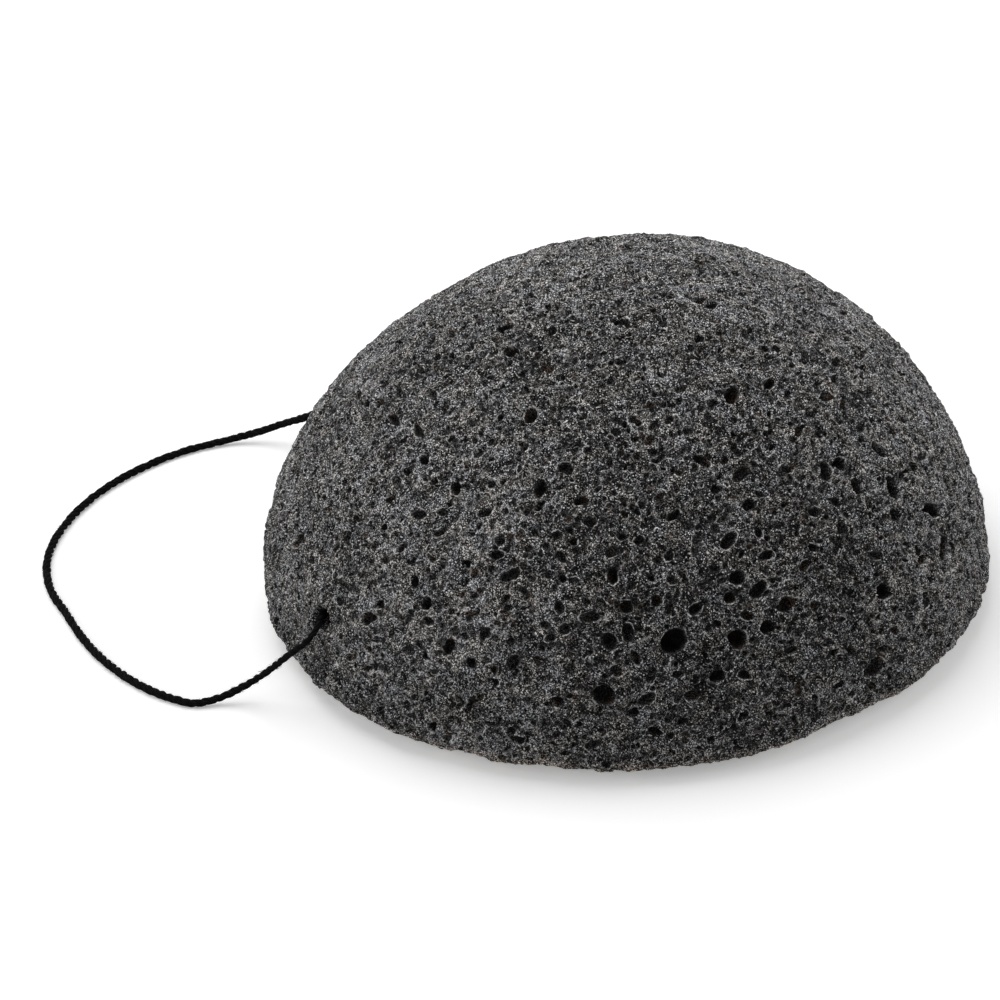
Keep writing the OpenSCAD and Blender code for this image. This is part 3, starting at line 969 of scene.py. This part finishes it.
def ply_rings(run, outward, ply_out, radii):
    """Rings of points round one ply, which lies off the cord's own line by ply_out."""
    middle = run + outward * ply_out[:, None]
    way = np.gradient(middle, axis=0)
    way /= np.linalg.norm(way, axis=1)[:, None]
    across = outward - way * np.sum(outward * way, axis=1)[:, None]
    across /= np.linalg.norm(across, axis=1)[:, None]
    other = np.cross(way, across)
    spin = np.arange(PLY_SIDES) * 2 * math.pi / PLY_SIDES
    return middle[:, None] + radii[:, None, None] * (
        np.cos(spin)[None, :, None] * across[:, None]
        + PLY_STRETCH * np.sin(spin)[None, :, None] * other[:, None])


def fibre_rings(root, out, heading, lean, length):
    """Rings of points along a loose fibre that stands off the cord and curls over, and the
    length up to each."""
    steps = np.array([0.0, 0.5, 1.0])[:, None] * length * MM
    across = np.cross(out, heading)
    line = root + steps * out * 0.5 + steps * heading * lean + (
        (steps / MM) ** 2 * MM * 0.5 * across)
    line[:, 2] = np.maximum(line[:, 2], FIBRE_FLOOR)
    spin = np.arange(FIBRE_SIDES) * 2 * math.pi / FIBRE_SIDES
    rings = line[:, None] + np.array(FIBRE_RADII)[:, None, None] * MM * (
        np.cos(spin)[None, :, None] * out + np.sin(spin)[None, :, None] * across)
    return rings, steps[:, 0]


def twisted(name, runs, look, splay=0.0, fibres=0.0, slim=0.0):
    """Cord of plies twisted round each other along one or more runs of points.

    The plies of a run part at its end by a share of the cord's width, and loose fibres stand
    off it, so many to each millimetre. A run is slimmer by a share where it starts, and
    reaches its full width after some way.
    """
    chance = np.random.default_rng(7)
    ply_radius = look.width * PLY_SHARE
    points, faces, corners = [], [], []

    def add_tube(rings, at):
        made, uv = tube(rings, at, len(points))
        points.extend(rings.reshape(-1, 3))
        faces.extend(made)
        corners.extend(uv)

    for run in runs:
        run, at = even_run(np.asarray(run, float), RING_STEP)
        heading, side, top = carried_frames(run)
        full = 1 - slim * np.clip(1 - at / SLIM_LENGTH, 0, 1)
        ply_out = (look.width / 2 - ply_radius) * full
        ply_out = ply_out + splay * look.width * np.clip(at / at[-1] * 4 - 3, 0, 1)
        marks = np.arange(0, at[-1] + MM, UNEVEN_STEP)
        for ply in range(look.plies):
            angle = 2 * math.pi * (at / look.lay + ply / look.plies)
            outward = np.cos(angle)[:, None] * side + np.sin(angle)[:, None] * top
            uneven = 1 + np.interp(
                at, marks, chance.uniform(-UNEVEN_SHARE, UNEVEN_SHARE, len(marks)))
            add_tube(ply_rings(run, outward, ply_out, ply_radius * (uneven * full)), at)
        for i in chance.integers(0, len(run), int(fibres * at[-1] / MM)):
            turn, lean, length = chance.uniform((0, -1, 0.25), (2 * math.pi, 1, 0.55))
            out = math.cos(turn) * side[i] + math.sin(turn) * top[i]
            rings, steps = fibre_rings(
                run[i] + out * look.width * 0.4, out, heading[i], lean, length)
            add_tube(rings, at[i] + steps)
    return new_piece(name, points, faces, corners)


def cotton_material(look):
    """Black cotton: fibres that wind along each ply, with a soft dull sheen."""
    material, tree, shader = new_material("black_cotton")
    uv = add(tree, "ShaderNodeUVMap", uv_map="UVMap").outputs["UV"]
    place = add(tree, "ShaderNodeMapping", {
        "Vector": uv, "Rotation": (0, 0, math.radians(12)), "Scale": (9.0, 1.2, 1.0)})
    strands = noise_at(tree, place.outputs["Vector"], 0.5, 3.0)
    tone = stepped(tree, strands, 0.42, 0.66)
    colour = mixed(tree, tone, (*look.dye, 1), (0.014, 0.014, 0.0145, 1))
    put(tree, colour, shader.inputs["Base Color"])
    bump = add(tree, "ShaderNodeBump", {
        "Height": strands, "Distance": 0.05 * MM, "Strength": 0.7})
    put(tree, bump.outputs["Normal"], shader.inputs["Normal"])
    shader.inputs["Roughness"].default_value = 0.9
    shader.inputs["Specular IOR Level"].default_value = 0.05
    shader.inputs["Sheen Weight"].default_value = 0.01
    return material


def behind(along, out=0.0, rise=0.0):
    """A point beyond the back mouth: along the track's line, out and up."""
    return track_mouths()[1] + along * TRACK_WAY + out * LOOP_WAY + rise * UP_WAY


def loop_path():
    """The free cord's own line, from the front mouth to the knot."""
    front = track_mouths()[0]
    lying = [np.array(p) * MM + CORD_WIDTH / 2 * UP_WAY for p in LOOP_ROUTE]
    run = smooth_route(
        [front, front - CORD_WIDTH / 2 * TRACK_WAY, *lying,
         behind(KNOT_GAP - CORD_WIDTH / 2, STRAND_OUT), behind(KNOT_GAP, STRAND_OUT)])
    run[:, 2] = np.maximum(run[:, 2], CORD_WIDTH / 2)
    return run


class SPONGE_OT_cord(Operator):
    """Make the stretch of cord in the foam, the free loop, the knot and the cut ends"""

    bl_idname = "sponge.cord"
    bl_label = "Hanging Cord"

    def execute(self, context):
        look = context.scene.cord_shape
        cotton = cotton_material(look)
        front = track_mouths()[0]
        core = twisted("threaded_cord", [[front, behind(KNOT_GAP)]], look)
        finish_piece(core, CORD_BODY, cotton, "cord", "cord_core")

        # Both strands go straight through, and the doubled cord winds round them aslant and
        # draws in at both ends
        knot_runs = [[behind(KNOT_GAP, out), behind(KNOT_GAP + KNOT_LENGTH, out)]
                     for out in (0.0, STRAND_OUT)]
        wind = np.linspace(0, 1, 170)
        turn = 2 * math.pi * KNOT_TURNS * wind + KNOT_START
        radius = KNOT_RADIUS * np.clip(np.minimum(wind, 1 - wind) * 9, 0.3, 1)
        for lane in (-0.5, 0.5):
            along = KNOT_GAP + KNOT_LENGTH / 2 + (wind - 0.5) * KNOT_SPREAD + lane * CORD_WIDTH
            knot_runs.append(np.array([
                behind(a, KNOT_OUT + r * math.cos(t), r * math.sin(t))
                for a, r, t in zip(along, radius, turn)]))
        knot = twisted("tied_knot", knot_runs, look, fibres=6)
        finish_piece(knot, CORD_BODY, cotton, "cord", "cord_knot")

        tails = []
        for tail in (LONG_TAIL, SHORT_TAIL):
            tails.append(smooth_route(
                [behind(KNOT_GAP + KNOT_LENGTH + a * MM, KNOT_OUT + o * MM, r * MM)
                 for a, o, r in tail]))
        ends = twisted("cut_ends", tails, look, splay=0.3, fibres=12)
        finish_piece(ends, CORD_BODY, cotton, "cord", "cord_tails")

        path = loop_path()
        loop = twisted("free_loop", [path], look, fibres=12, slim=0.3)
        finish_piece(loop, CORD_BODY, cotton, "cord", "cord_loop")
        return {"FINISHED"}


# Floor, lamps and camera

def seen_directly(tree):
    """1 where the camera sees a surface itself or in a reflection, and 0 for other light."""
    path = add(tree, "ShaderNodeLightPath")
    return maths(tree, "MAXIMUM", path.outputs["Is Camera Ray"], maths(
        tree, "MAXIMUM", path.outputs["Is Glossy Ray"], path.outputs["Is Transmission Ray"]))


class SPONGE_OT_studio(Operator):
    """Make the pale floor, the soft lamps and the camera"""

    bl_idname = "sponge.studio"
    bl_label = "Studio"

    def execute(self, context):
        look = context.scene.stage_look
        scene = context.scene
        scene.view_settings.view_transform = "Standard"
        deselect()
        bpy.ops.mesh.primitive_plane_add(size=6)
        floor = context.active_object
        floor.name = "floor"
        material, tree, shader = new_material("pale_floor")
        seen = seen_directly(tree)
        put(tree, mixed(tree, seen, (0.4, 0.4, 0.4, 1), (0.95, 0.95, 0.95, 1)),
            shader.inputs["Base Color"])
        put(tree, mixed(tree, seen, (0, 0, 0, 1), (1, 1, 1, 1)),
            shader.inputs["Emission Color"])
        shader.inputs["Emission Strength"].default_value = look.floor_glow
        shader.inputs["Roughness"].default_value = 1.0
        shader.inputs["Specular IOR Level"].default_value = 0.0
        floor.data.materials.append(material)

        world = bpy.data.worlds.new("studio")
        scene.world = world
        world.use_nodes = True
        tree = world.node_tree
        back = tree.nodes["Background"]
        put(tree, (1, 1, 1, 1), back.inputs["Color"])
        level = add(tree, "ShaderNodeMapRange", {
            "Value": seen_directly(tree), "To Min": look.fill, "To Max": 1.0}).outputs["Result"]
        put(tree, level, back.inputs["Strength"])

        for name, place, size, power in (
                ("overhead", (-0.10, 0.16, 0.50), 0.50, look.key),
                ("left_hand", (-0.46, -0.10, 0.26), 0.35, look.side),
                ("right_hand", (0.44, -0.04, 0.24), 0.35, look.side)):
            lamp = bpy.data.lights.new(name, "AREA")
            lamp.shape = "DISK"
            lamp.size = size
            lamp.energy = power
            holder = bpy.data.objects.new(name, lamp)
            scene.collection.objects.link(holder)
            holder.matrix_world = Matrix.Translation(place) @ Vector(
                place).to_track_quat("Z", "Y").to_matrix().to_4x4()

        camera = bpy.data.cameras.new("camera")
        camera.lens = look.lens
        camera.sensor_width = 36
        camera.clip_start = 0.01
        eye = bpy.data.objects.new("camera", camera)
        scene.collection.objects.link(eye)
        # The camera's own right, up and back, and its place
        right = (0.99638988, -0.04244761, -0.07352142)
        up = (0.08489523, 0.49819494, 0.86289895)
        back_way = (0.0, -0.8660254, 0.5)
        place = (-0.013464, -0.313721, 0.192620)
        eye.matrix_world = Matrix([
            (right[i], up[i], back_way[i], place[i]) for i in range(3)] + [(0, 0, 0, 1)])
        scene.camera = eye
        return {"FINISHED"}


class VIEW3D_PT_sponge(Panel):
    """Sidebar panel with a button for each piece"""

    bl_label = "Sponge"
    bl_space_type = "VIEW_3D"
    bl_region_type = "UI"
    bl_category = "Sponge"

    def draw(self, context):
        layout = self.layout
        scene = context.scene
        for group, operator in ((scene.sponge_shape, "sponge.body"),
                                (scene.cord_shape, "sponge.cord"),
                                (scene.stage_look, "sponge.studio")):
            box = layout.box()
            for name in group.__annotations__:
                box.prop(group, name)
            box.operator(operator)


CLASSES = (SpongeShape, CordShape, StageLook, SPONGE_OT_body, SPONGE_OT_cord,
           SPONGE_OT_studio, VIEW3D_PT_sponge)


def register():
    """Adds the classes and the scene's settings."""
    for item in CLASSES:
        bpy.utils.register_class(item)
    bpy.types.Scene.sponge_shape = PointerProperty(type=SpongeShape)
    bpy.types.Scene.cord_shape = PointerProperty(type=CordShape)
    bpy.types.Scene.stage_look = PointerProperty(type=StageLook)


def unregister():
    """Takes the classes and the scene's settings away."""
    for name in ("sponge_shape", "cord_shape", "stage_look"):
        delattr(bpy.types.Scene, name)
    for item in reversed(CLASSES):
        bpy.utils.unregister_class(item)


def main():
    """Makes the whole scene."""
    register()
    bpy.ops.sponge.studio()
    bpy.ops.sponge.cord()
    bpy.ops.sponge.body()


if __name__ == "__main__":
    main()
